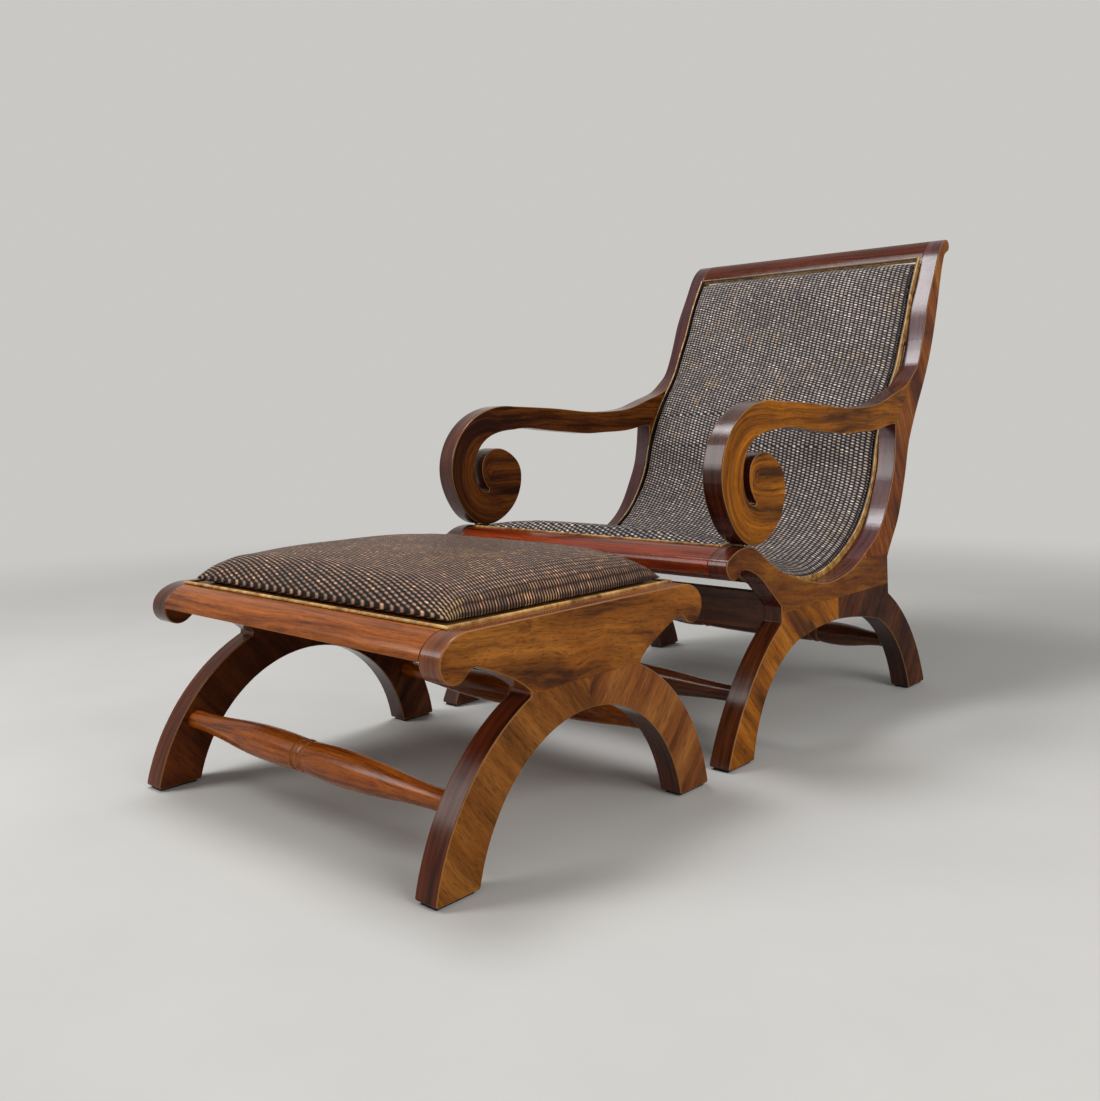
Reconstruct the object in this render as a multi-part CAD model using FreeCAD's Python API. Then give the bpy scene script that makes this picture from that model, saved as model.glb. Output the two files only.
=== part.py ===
import FreeCAD, Part
import math
import os

from FreeCAD import Vector

# A planters chair and its matching footstool: curved side frames of thick hardwood boards, a
# long S-shaped woven seat and back, and a crowned woven pad on the stool.
# Millimetres, +Z up, front towards -Y. The origin is the middle of the footprint, on the floor.

# Whole set
overall_width = 690.0
board = 40.0
arris = 2.5
corner_round = 4.0
blend_round = 12.0
overrun = 20.0
sharp_turn = 20.0
slight_turn = 2.0
straight_limit = 0.0001
across_share = 0.999

# Chair
chair_depth = 1003.0
leg_height = 235.0
seat_height = 363.0
arm_height = 612.0
chair_height = 994.0
foot_length = 80.0
leg_gap = 4.5
foot_pad_inset = 6.0
foot_pad_height = 4.0

# Footstool
stool_depth = 582.0
stool_gap = 56.0
stool_leg_height = 224.0
stool_height = 324.0
stool_foot_length = 75.0

# Woven seat and back, with the slats and battens that carry it
panel_edge = 10.0
panel_crown = 25.0
panel_gap = 0.3
bead_width = 5.0
bead_rise = 2.5
bead_shadow = 1.5
slat_count = 9
slat_width = 62.0
slat_thickness = 10.0
batten_width = 24.0
batten_depth = 16.0

# Woven stool pad, its beads and its deck
pad_crown = 60.0
pad_edge = 8.0
pad_end_crown = 3.0
stool_bead_width = 7.0
stool_bead_height = 3.5
stool_bead_inset = 30.0
stool_bead_setback = 38.5
deck_thickness = 12.0
ledger_width = 22.0
ledger_depth = 28.0

# Rails and turned stretchers
bearer_thickness = 25.0
bearer_height = 66.0
front_bearer_floor = 200.0
rear_bearer_floor = 214.0
stretcher_diameter = 49.5
stretcher_tenon = 20.0
stretcher_tenon_length = 24.0
stretcher_height = 102.0
ring_half_width = 14.0
rear_ring_place = 145.0
plug_diameter = 12.0
plug_depth = 10.0

# Dowels, screws and their fits
dowel_diameter = 10.0
dowel_length = 50.0
arm_dowel_diameter = 12.0
arm_dowel_length = 44.0
scroll_dowel_diameter = 8.0
scroll_dowel_length = 36.0
dowel_fit = 0.1
screw_diameter = 4.0
screw_length = 40.0
screw_head = 8.0
screw_head_height = 3.0
slat_screw_length = 24.0

half_width = overall_width / 2
inner_face = half_width - board
set_length = stool_depth + stool_gap + chair_depth
chair_front = stool_depth + stool_gap - set_length / 2
stool_centre = stool_depth / 2 - set_length / 2

# Outlines are (depth share, level) pairs. Level 0 is the floor, 1 the top of the legs, 2 the front
# of the seat, 3 the arm and 4 the crest. On the stool 1 is the top of the legs and 2 the top.
# One point in a move is a line, two are an arc, and more are a smooth curve.
foot_share = foot_length / chair_depth
stool_foot_share = stool_foot_length / (stool_depth / 2)
front_foot_share = leg_gap / chair_depth
rear_foot_share = 0.790
foot_level = foot_pad_height / leg_height
stool_foot_level = foot_pad_height / stool_leg_height
leg_joint_share = 0.399

leg_front_shares = [[(0.084, 0.562), (0.186, 0.928)], [(0.186, 1.094)], [(0.133, 1.449)]]
rail_scroll_shares = [
    [(0.116, 1.555), (0.097, 1.633), (0.077, 1.688), (0.055, 1.698)],
    [(0.030, 1.599), (0.0115, 1.719)],
    [(0.0104, 1.805), (0.022, 1.891)],
]
seat_curve_shares = [
    (0.035, 1.945), (0.052, 1.984), (0.072, 2.0), (0.088, 1.990), (0.105, 1.945), (0.138, 1.789),
    (0.182, 1.609), (0.254, 1.414), (0.310, 1.3125), (0.365, 1.258), (0.420, 1.297),
    (0.474, 1.398), (0.528, 1.594), (0.573, 1.789), (0.600, 1.969), (0.622, 2.100),
    (0.644, 2.253), (0.663, 2.406), (0.673, 2.562), (0.680, 2.807),
]
arm_underside_shares = [
    (0.655, 2.803), (0.611, 2.775), (0.555, 2.755), (0.495, 2.749), (0.445, 2.743),
    (0.391, 2.755), (0.287, 2.787), (0.225, 2.807), (0.1875, 2.797),
]
arm_scroll_shares = [
    [(0.1295, 2.766), (0.098, 2.708), (0.079, 2.630), (0.069, 2.530), (0.0685, 2.424), (0.0765, 2.338),
     (0.093, 2.283)],
    [(0.105, 2.277), (0.1165, 2.291)],
    [(0.1065, 2.306), (0.0985, 2.345)],
    [(0.088, 2.460), (0.0955, 2.570), (0.130, 2.638), (0.1764, 2.586), (0.2035, 2.475), (0.207, 2.330),
     (0.190, 2.172), (0.156, 2.055), (0.100, 1.996), (0.056, 2.062), (0.022, 2.213), (0.001, 2.446),
     (0.0155, 2.700), (0.060, 2.888), (0.1045, 2.970), (0.1875, 3.0)],
]
arm_top_shares = [
    (0.243, 2.994), (0.344, 2.976), (0.445, 2.949), (0.5005, 2.949), (0.555, 2.960),
    (0.611, 2.992), (0.666, 3.037), (0.705, 3.065), (0.744, 3.102), (0.777, 3.160),
    (0.800, 3.209), (0.8215, 3.298), (0.8435, 3.429), (0.8655, 3.573), (0.887, 3.675),
    (0.910, 3.777), (0.926, 3.851), (0.943, 3.921), (0.960, 3.966), (0.982, 4.0),
]
crest_roll_shares = [[(1.0, 3.969), (0.987, 3.927)], [(0.971, 3.9005)]]
stile_rear_shares = [
    (0.960, 3.851), (0.946, 3.762), (0.909, 3.5), (0.865, 3.254), (0.8225, 3.079),
    (0.794, 2.964), (0.765, 2.787), (0.743, 2.631), (0.726, 2.430), (0.711, 2.273),
    (0.694, 2.116), (0.677, 1.980), (0.653, 1.740), (0.622, 1.420),
]
leg_rear_shares = [[(0.622, 0.915)], [(0.752, 0.387), (rear_foot_share, foot_level)]]
arch_shares = [
    [(0.639, 0.536), (0.574, 0.717)],
    [(0.4865, 0.787), (leg_joint_share, 0.823)],
    [(0.319, 0.8085), (0.247, 0.762)],
]
front_arch_share = (0.1595, 0.566)
scarf_shares = ((0.680, 2.807), (0.780, 3.165))
stile_seam_shares = ((0.45, 1.484), (0.66, 1.484))
leg_seam_shares = ((-0.02, 1.0), (0.82, 1.0))
leg_joint_shares = ((leg_joint_share, 0.5), (leg_joint_share, 1.2))
front_rail_back_shares = ((0.105, 1.595), (0.105, 1.945))
crest_front_shares = (0.9345, 3.880)
front_bearer_share = 0.1885
rear_bearer_share = 0.573
front_stretcher_share = 0.106
rear_stretcher_share = 0.689
plug_share = 0.95
plug_level_share = 1.67

# The line of the woven panel, from the front rail to the crest
panel_line_shares = [
    (0.058, 1.988), (0.072, 2.002), (0.088, 2.002), (0.105, 1.977), (0.138, 1.836), (0.182, 1.664),
    (0.254, 1.461), (0.310, 1.359), (0.371, 1.305), (0.428, 1.359), (0.4845, 1.5),
    (0.541, 1.719), (0.598, 2.028), (0.627, 2.173), (0.655, 2.373), (0.670, 2.574),
    (0.703, 2.863), (0.743, 3.065), (0.787, 3.212), (0.8155, 3.353), (0.840, 3.469),
    (0.870, 3.639), (0.902, 3.788), (0.9255, 3.885),
]
batten_ends_shares = (0.062, 1.0)
slat_ends_shares = (0.12, 0.95)
rebate_end_share = 0.12
batten_screw_shares = (0.172, 0.38, 0.587, 0.795, 0.898)

# Half of the stool's side, in shares of half its depth, from the top to the floor
stool_scroll_shares = [
    [(0.811, 2.0)],
    [(0.852, 1.980), (0.898, 1.932), (0.938, 1.850), (0.962, 1.750), (0.9685, 1.650)],
    [(0.962, 1.535), (0.935, 1.430), (0.895, 1.375), (0.855, 1.380), (0.822, 1.428), (0.797, 1.490)],
    [(0.779, 1.522), (0.750, 1.518)],
]
stool_underside_shares = [(0.680, 1.455), (0.585, 1.335), (0.492, 1.200), (0.412, 1.030)]
stool_leg_shares = [[(0.412, 0.985)], [(0.756, 0.663), (1.0, stool_foot_level)]]
stool_arch_shares = (0.0, 0.808)
stool_leg_seam_shares = ((-1.1, 1.0), (1.1, 1.0))
stool_leg_joint_shares = ((0.0, 0.5), (0.0, 1.2))
stool_rail_back_share = 0.763
stool_stretcher_share = 0.775

# The turning: shares of the way from a ring to the leg, or of the ring's half width, with shares of
# the largest radius
belly_shares = [(0.0, 0.92), (0.25, 1.0), (0.52, 0.87), (0.76, 0.64), (1.0, 0.605)]
groove_shares = [(1.0, 0.92), (0.75, 0.80), (0.5, 0.88)]
ring_shares = [(0.5, 0.88), (0.0, 0.95), (-0.5, 0.88)]

# Dowel places: pairs of the sawn joints, and shares of the rails' own ends
leg_dowel_shares = (0.239, 0.339, 0.459, 0.558)
stile_dowel_shares = ((0.566, 1.484), (0.592, 1.484))
arm_dowel_share = 0.43
arm_dowel_across_shares = (0.3, 0.7)
scroll_dowel_shares = (0.088, 2.0)
front_rail_dowel_shares = ((0.045, 1.83), (0.078, 1.80))
crest_dowel_shares = ((0.9535, 3.918), (0.9780, 3.945))
bearer_dowel_shares = (0.25, 0.75)
stool_leg_dowel_shares = (-0.275, -0.12, 0.12, 0.275)
stool_rail_dowel_shares = ((0.895, 1.79), (0.82, 1.79))
ledger_screw_shares = (-0.6, 0.0, 0.6)
pad_station_count = 11
panel_station_count = 11
pad_arc_count = 4
pad_power = 4
panel_power = 3
woven_arc_count = 28
woven_end_power = 12
seat_slat_count = 5

# A place inside each piece of a side, to tell the sawn pieces apart
seat_rail_inside_shares = (0.36, 1.1)
stile_inside_shares = (0.88, 3.5)
arm_inside_shares = (0.40, 2.85)
front_leg_inside_shares = (0.05, 0.1)
rear_leg_inside_shares = (0.75, 0.1)
stool_side_inside_shares = (0.1, 1.5)
stool_leg_inside_shares = (0.9, 0.1)


def level(share, heights):
    """Height of a level: whole levels are the given heights, with straight runs between them."""
    steps = [0.0] + heights
    step = min(int(share), len(steps) - 2)
    return steps[step] + (share - step) * (steps[step + 1] - steps[step])


def chair_point(pair, x=0.0):
    """A point of the chair's side from its depth share and level."""
    heights = [leg_height, seat_height, arm_height, chair_height]
    return Vector(x, chair_front + pair[0] * chair_depth, level(pair[1], heights))


def stool_point(pair, x=0.0):
    """A point of the stool's side from its share of half the depth and its level."""
    heights = [stool_leg_height, stool_height]
    return Vector(x, stool_centre + pair[0] * stool_depth / 2, level(pair[1], heights))


def arc_from(start, along, end):
    """An arc that leaves its start along a direction, or a line where the end lies straight ahead."""
    chord = end - start
    aside = along - chord * (along.dot(chord) / chord.Length ** 2)
    if aside.Length < straight_limit:
        return Part.makeLine(start, end)
    half_turn = math.atan2(aside.Length, along.dot(chord) / chord.Length)
    rise = aside.normalize() * (chord.Length / 2 * math.tan(half_turn / 2))
    return Part.Arc(start, start + chord / 2 + rise, end).toShape()


def smooth_edges(points):
    """Pairs of arcs through the points, each meeting the next with no corner."""
    curve = Part.BSplineCurve()
    curve.interpolate(points)
    ways = [curve.tangent(curve.parameter(point))[0] for point in points]
    edges = []
    for start, end, leave, arrive in zip(points, points[1:], ways, ways[1:]):
        chord = end - start
        spread = 2 * (1 - leave.dot(arrive))
        slope = chord.dot(leave + arrive)
        if spread < straight_limit ** 2:
            reach = chord.Length ** 2 / (4 * chord.dot(arrive))
        else:
            reach = (math.sqrt(slope ** 2 + spread * chord.Length ** 2) - slope) / spread
        middle = (start + leave * reach + end - arrive * reach) / 2
        edges.append(arc_from(start, leave, middle))
        edges.append(arc_from(middle, ways_between(start, leave, middle), end))
    return edges


def ways_between(start, along, end):
    """The direction in which an arc that left its start along one direction reaches its end."""
    chord = (end - start).normalize()
    return chord * (2 * along.dot(chord)) - along


def edges_through(points):
    """A line through two points, an arc through three, or smooth arcs through more."""
    if len(points) == 2:
        return [Part.makeLine(points[0], points[1])]
    if len(points) == 3:
        return [Part.Arc(points[0], points[1], points[2]).toShape()]
    return smooth_edges(points)


def edge(points):
    """The one line or arc through two or three points."""
    return edges_through(points)[0]


def outline(place, start, moves):
    """A closed face from a start pair and its moves."""
    edges = []
    here = place(start)
    for move in moves:
        points = [here] + [place(pair) for pair in move]
        edges += edges_through(points)
        here = points[-1]
    edges.append(Part.makeLine(here, place(start)))
    return Part.Face(Part.Wire(edges))


def box(low, high):
    """A box between two corners."""
    size = high - low
    return Part.makeBox(size.x, size.y, size.z, low)


def cylinder(diameter, start, end):
    """A round bar between two points."""
    way = end - start
    return Part.makeCylinder(diameter / 2, way.Length, start, way)


def mirrored(shape):
    """The same shape on the other side of the set."""
    return shape.mirror(Vector(0, 0, 0), Vector(1, 0, 0))


def across_edges(solid, least, most):
    """Edges running across the board where two faces turn by an angle between two limits."""
    found = []
    for candidate in solid.Edges:
        way = candidate.Vertexes[-1].Point - candidate.Vertexes[0].Point
        if way.Length == 0 or abs(way.x) < way.Length * across_share:
            continue
        faces = solid.ancestorsOfType(candidate, Part.Face)
        middle = candidate.Vertexes[0].Point + way * 0.5
        normals = [face.normalAt(*face.Surface.parameter(middle)) for face in faces]
        turn = math.degrees(normals[0].getAngle(normals[1]))
        if least < turn <= most:
            found.append(candidate)
    return found


def eased_board(face, thickness):
    """A board cut to an outline, with rounded corners and every long arris eased."""
    solid = face.extrude(Vector(thickness, 0, 0))
    solid = solid.makeFillet(corner_round, across_edges(solid, sharp_turn, 180.0))
    slight = across_edges(solid, slight_turn, sharp_turn)
    if slight:
        solid = solid.makeFillet(blend_round, slight)
    flats = sorted(solid.Faces, key=lambda flat: flat.Area)[-2:]
    return solid.makeFillet(arris, flats[0].Edges + flats[1].Edges)


def split(solid, cutters):
    """The pieces of a board sawn along the given faces."""
    return solid.generalFuse(cutters)[0].Solids


def piece_with(pieces, point):
    """The piece that holds a point."""
    for piece in pieces:
        if piece.isInside(point, panel_gap, True):
            return piece
    raise ValueError("no piece holds that point")


def saw_face(first, second):
    """A cutting face across the board through two points of its side."""
    across = Vector(board + 2 * overrun, 0, 0)
    start = Vector(inner_face - overrun, first.y, first.z)
    end = Vector(inner_face - overrun, second.y, second.z)
    return Part.Face(Part.makePolygon([start, end, end + across, start + across, start]))


def chair_side_face():
    """The whole side of the chair: legs, seat rail, stile and arm in one outline."""
    moves = list(leg_front_shares)
    moves += rail_scroll_shares
    moves.append(seat_curve_shares)
    moves.append(arm_underside_shares)
    moves += arm_scroll_shares
    moves.append(arm_top_shares)
    moves += crest_roll_shares
    moves.append(stile_rear_shares)
    moves += leg_rear_shares
    moves.append([(rear_foot_share - foot_share, foot_level)])
    moves += arch_shares
    moves.append([front_arch_share, (front_foot_share + foot_share, foot_level)])
    return outline(chair_point, (front_foot_share, foot_level), moves)


def stool_side_face():
    """The whole side of the stool, the same to the front and to the back."""
    moves = list(stool_scroll_shares[1:])
    moves.append(stool_underside_shares)
    moves += stool_leg_shares
    moves.append([(stool_leg_shares[-1][-1][0] - stool_foot_share, stool_foot_level)])
    here = stool_scroll_shares[0][0]
    edges = []
    for sign in (1.0, -1.0):
        start = here
        for move in moves:
            places = [start] + list(move)
            edges += edges_through([stool_point((pair[0] * sign, pair[1])) for pair in places])
            start = move[-1]
    far = moves[-1][0]
    edges.append(edge([stool_point((-here[0], here[1])), stool_point(here)]))
    edges.append(edge([stool_point(far), stool_point(stool_arch_shares), stool_point((-far[0], far[1]))]))
    return Part.Face(Part.Wire(Part.__sortEdges__(edges)))


def rail(face):
    """A rail of one section between the two sides."""
    return face.extrude(Vector(2 * inner_face, 0, 0))


def cut_by(solid, tools):
    """A solid less every tool that comes near it."""
    near = [tool for tool in tools if tool.BoundBox.intersect(solid.BoundBox)]
    return solid.cut(near) if near else solid


def drilled(solid, bars):
    """A solid with a bore for every bar, a fit wider than the bar."""
    return cut_by(solid, [cylinder(diameter + 2 * dowel_fit, start, end) for diameter, start, end in bars])


def both_sides(bars):
    """The bars of the right side and their mirror images."""
    others = []
    for diameter, start, end in bars:
        others.append((diameter, Vector(-start.x, start.y, start.z), Vector(-end.x, end.y, end.z)))
    return bars + others


def bars_group(bars):
    """All the bars as one group of separate solids."""
    return Part.makeCompound([cylinder(diameter, start, end) for diameter, start, end in bars])


def foot_pads(feet):
    """Thin pads under the feet of both sides, from the front and rear end of each foot."""
    pads = []
    for front, rear in feet:
        low = Vector(inner_face + foot_pad_inset, front + foot_pad_inset, 0)
        pads.append(box(low, Vector(half_width - foot_pad_inset, rear - foot_pad_inset, foot_pad_height)))
    return Part.makeCompound(pads + [mirrored(pad) for pad in pads])


def upright_dowels(places, diameter, length):
    """Dowels standing in the middle of the board at the given points of a joint."""
    middle = inner_face + board / 2
    half = Vector(0, 0, length / 2)
    return [(diameter, Vector(middle, at.y, at.z) - half, Vector(middle, at.y, at.z) + half) for at in places]


def cross_dowels(places):
    """Dowels lying across the set, half in the rail and half in the board."""
    half = Vector(dowel_length / 2, 0, 0)
    return [(dowel_diameter, Vector(inner_face, at.y, at.z) - half, Vector(inner_face, at.y, at.z) + half)
            for at in places]


def turned_rod(place, rings):
    """A turned stretcher: bellies that taper to the legs, a bead between two grooves at each ring, and tenons."""
    radius = stretcher_diameter / 2
    start = rings[-1] + ring_half_width
    belly = [Vector(start + (inner_face - start) * share, 0, radius * size) for share, size in belly_shares]
    runs = [belly, [Vector(-point.x, 0, point.z) for point in belly]]
    for ring in rings:
        for sign, shares in ((1, groove_shares), (-1, groove_shares), (1, ring_shares)):
            runs.append([Vector(ring + sign * ring_half_width * share, 0, radius * size)
                         for share, size in shares])
    for first, second in zip(rings, rings[1:]):
        flank = Vector(second - ring_half_width, 0, belly[0].z)
        runs.append([Vector(first + ring_half_width, 0, flank.z), Vector(0, 0, radius), flank])
    edges = [one for run in runs for one in edges_through(run)]
    far = belly[-1]
    corners = [far, Vector(far.x, 0, 0), Vector(-far.x, 0, 0), Vector(-far.x, 0, far.z)]
    edges += [edge([first, second]) for first, second in zip(corners, corners[1:])]
    face = Part.Face(Part.Wire(Part.__sortEdges__(edges)))
    rod = face.revolve(Vector(0, 0, 0), Vector(1, 0, 0), 360)
    reach = Vector(inner_face + stretcher_tenon_length, 0, 0)
    rod = rod.fuse(cylinder(stretcher_tenon, reach * -1, reach)).removeSplitter()
    rod.translate(place)
    return rod


def tenon_bore(place):
    """The bore that a stretcher's tenon fills in the right leg."""
    start = Vector(inner_face, place.y, place.z)
    return (stretcher_tenon, start, start + Vector(stretcher_tenon_length, 0, 0))


def woven_line():
    """The line that the woven seat and back follow, seen from the side."""
    curve = Part.BSplineCurve()
    curve.interpolate([chair_point(pair) for pair in panel_line_shares])
    return curve


woven_curve = woven_line()
woven_length = woven_curve.length()


def woven_point(share, sink, x=0.0):
    """A point at a share of the woven line, sunk square to it by some distance."""
    at = woven_curve.parameterAtDistance(share * woven_length)
    along = woven_curve.tangent(at)[0]
    point = woven_curve.value(at)
    return Vector(x, point.y + along.z * sink, point.z - along.y * sink)


def even_shares(start, end, arcs):
    """The shares of the woven line at the ends and the middle of every arc of a stretch."""
    return [start + (end - start) * step / (2 * arcs) for step in range(2 * arcs + 1)]


def arcs_through(points):
    """Arcs that each take three of the points."""
    return [edge(points[step:step + 3]) for step in range(0, len(points) - 1, 2)]


def band_wire(upper, lower):
    """A closed wire of arcs along both sides of a band, with a line at each end."""
    edges = arcs_through(upper) + [edge([upper[-1], lower[0]])]
    edges += arcs_through(lower) + [edge([lower[-1], upper[0]])]
    return Part.Wire(edges)


def woven_strip(start, end, top, bottom, low_x, high_x):
    """A strip that follows the woven line, with a fixed depth and width."""
    shares = even_shares(start, end, max(2, round((end - start) * woven_arc_count)))
    upper = [woven_point(share, top, low_x) for share in shares]
    lower = [woven_point(share, bottom, low_x) for share in reversed(shares)]
    return Part.Face(band_wire(upper, lower)).extrude(Vector(high_x - low_x, 0, 0))


bead_outer = inner_face - bead_shadow
bead_inner = bead_outer - bead_width
panel_half = bead_inner - panel_gap
bead_share = bead_width / woven_length
gap_share = panel_gap / woven_length
slat_top = panel_edge + panel_gap
batten_top = slat_top + slat_thickness + panel_gap
batten_bottom = batten_top + batten_depth


def crown_wire(x, height):
    """The section of the woven panel at one station, raised by its crown."""
    start = bead_share + gap_share
    shares = even_shares(start, 1 - start, woven_arc_count)
    upper = []
    for number, share in enumerate(shares):
        along = number / woven_arc_count - 1
        upper.append(woven_point(share, -height * crown_share(along, woven_end_power), x))
    lower = [woven_point(share, panel_edge, x) for share in reversed(shares)]
    return band_wire(upper, lower)


def crown_share(share, power):
    """How high a crown stands at a share of the way from the middle to the edge."""
    return math.sqrt(max(0.0, 1 - abs(share) ** power))


def woven_panel():
    """The padded seat and back in one run, highest along the middle."""
    wires = []
    for station in range(panel_station_count):
        turn = math.pi * (station / (panel_station_count - 1) - 0.5)
        share = math.sin(turn)
        wires.append(crown_wire(share * panel_half, panel_crown * crown_share(share, panel_power)))
    return Part.makeLoft(wires, True, True)


def pad_wire(x, height):
    """The section of the stool's pad at one station: flat below and crowned above."""
    floor = stool_height + panel_gap
    arcs = pad_arc_count
    upper = []
    for step in range(2 * arcs + 1):
        share = math.sin(math.pi * (step / (2 * arcs) - 0.5))
        rise = pad_edge + height * crown_share(share, pad_power)
        upper.append(Vector(x, stool_centre + share * pad_half_depth, floor + rise))
    start = Vector(x, upper[0].y, floor)
    end = Vector(x, upper[-1].y, floor)
    edges = [edge([start, upper[0]])] + arcs_through(upper)
    edges += [edge([upper[-1], end]), edge([end, start])]
    return Part.Wire(edges)


stool_bead_half_width = half_width - stool_bead_inset
stool_bead_half_depth = stool_scroll_shares[1][-1][0] * stool_depth / 2 - stool_bead_setback
pad_half_width = stool_bead_half_width - stool_bead_width - panel_gap
pad_half_depth = stool_bead_half_depth - stool_bead_width - panel_gap


def stool_pad():
    """The crowned woven pad that fills the space inside the beads."""
    wires = []
    for station in range(pad_station_count):
        share = math.sin(math.pi * (station / (pad_station_count - 1) - 0.5))
        swell = pad_crown - pad_edge - pad_end_crown
        height = pad_end_crown + swell * crown_share(share, pad_power)
        wires.append(pad_wire(share * pad_half_width, height))
    return Part.makeLoft(wires, True, True)


def stool_bead(half_length, half_across):
    """One straight bead with a rounded top and mitred ends, lying along X at the -Y side."""
    outer = -half_across
    inner = outer + stool_bead_width
    shoulder = stool_bead_height / 2
    points = [Vector(-half_length, outer, 0), Vector(-half_length, outer, shoulder),
              Vector(-half_length, (outer + inner) / 2, stool_bead_height),
              Vector(-half_length, inner, shoulder), Vector(-half_length, inner, 0)]
    edges = [edge(points[0:2]), edge(points[1:4]), edge(points[3:5]), edge([points[4], points[0]])]
    bar = Part.Face(Part.Wire(edges)).extrude(Vector(2 * half_length, 0, 0))
    plan = [Vector(-half_length, outer, 0), Vector(half_length, outer, 0),
            Vector(half_length - overrun, outer + overrun, 0),
            Vector(-half_length + overrun, outer + overrun, 0), Vector(-half_length, outer, 0)]
    wedge = Part.Face(Part.makePolygon(plan)).extrude(Vector(0, 0, overrun))
    return bar.common(wedge)


def screw(start, way, length):
    """A flat-headed screw whose head lies at the start."""
    shank = Part.makeCylinder(screw_diameter / 2, length, start, way)
    head = Part.makeCylinder(screw_head / 2, screw_head_height, start, way)
    return shank.fuse(head).removeSplitter()


def screw_bore(start, way, length):
    """The hole that a screw fills, a fit wider all round."""
    shank = Part.makeCylinder(screw_diameter / 2 + dowel_fit, length, start, way)
    head = Part.makeCylinder(screw_head / 2 + dowel_fit, screw_head_height + dowel_fit, start, way)
    lead = Part.makeCylinder(screw_head / 2 + dowel_fit, overrun, start - way * overrun, way)
    return shank.fuse(head).fuse(lead)


def chair_side_pieces():
    """The five boards of the right side of the chair, before their holes."""
    whole = eased_board(chair_side_face(), board)
    whole.translate(Vector(inner_face, 0, 0))
    scarf = saw_beyond(chair_point(scarf_shares[0]), chair_point(scarf_shares[1]))
    stile_seam = saw_face(*[chair_point(pair) for pair in stile_seam_shares])
    leg_seam = saw_face(*[chair_point(pair) for pair in leg_seam_shares])
    leg_joint = saw_face(*[chair_point(pair) for pair in leg_joint_shares])
    sawn = split(whole, [scarf, stile_seam, leg_seam])
    middle = inner_face + board / 2
    legs = split(piece_with(sawn, chair_point(front_leg_inside_shares, middle)), [leg_joint])
    return {
        "seat_rail": piece_with(sawn, chair_point(seat_rail_inside_shares, middle)),
        "back_stile": piece_with(sawn, chair_point(stile_inside_shares, middle)),
        "scroll_arm": piece_with(sawn, chair_point(arm_inside_shares, middle)),
        "front_leg": piece_with(legs, chair_point(front_leg_inside_shares, middle)),
        "rear_leg": piece_with(legs, chair_point(rear_leg_inside_shares, middle)),
    }


def saw_beyond(first, second):
    """A cutting face that runs a little past both of its points."""
    way = (second - first).normalize() * (overrun / 2)
    return saw_face(first - way, second + way)


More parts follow.
